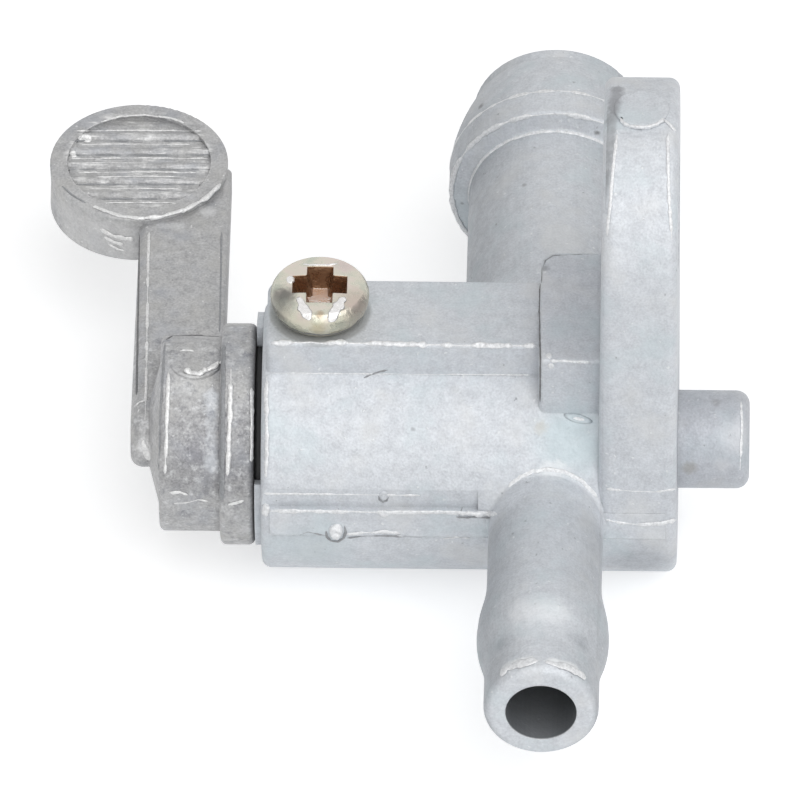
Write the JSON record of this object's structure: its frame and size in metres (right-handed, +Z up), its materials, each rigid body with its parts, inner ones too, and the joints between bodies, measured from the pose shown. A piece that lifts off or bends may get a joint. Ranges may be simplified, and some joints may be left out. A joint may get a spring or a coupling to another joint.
{
  "type": "fuel tap",
  "caption": "Die-cast fuel tap with a hose barb at each end, a drilled mounting plate with a locating pin, and a quarter-turn thumb lever.",
  "frame": {"origin": "where the axis of the barrel, spindle and locating pin meets the mounting face, which is the flat outer face of the plate", "axes": "+X leaves the mounting face along the locating pin, +Y runs to the inlet tube, -Y to the outlet barb, +Z up along the plate to its bolt hole"},
  "size_m": [0.0398, 0.0513, 0.0317],
  "materials": {
    "body_casting": "satin, as cast",
    "lever_casting": "tumbled zinc casting",
    "passivated_steel": "yellow zinc passivated",
    "black_rubber": "matte"
  },
  "bodies": {
    "tap": {"tap_body": "body_casting", "retaining_screw": "passivated_steel", "dust_ring": "black_rubber", "port_seal": "black_rubber"},
    "lever": {"lever_spindle": "lever_casting", "spindle_o_ring": "black_rubber"}
  },
  "joints": [
    {"name": "lever_turn", "type": "hinge", "parent": "tap", "child": "lever", "pos_m": [-0.02, 0, 0], "axis": [1, 0, 0], "range_deg": [0, 90]}
  ]
}
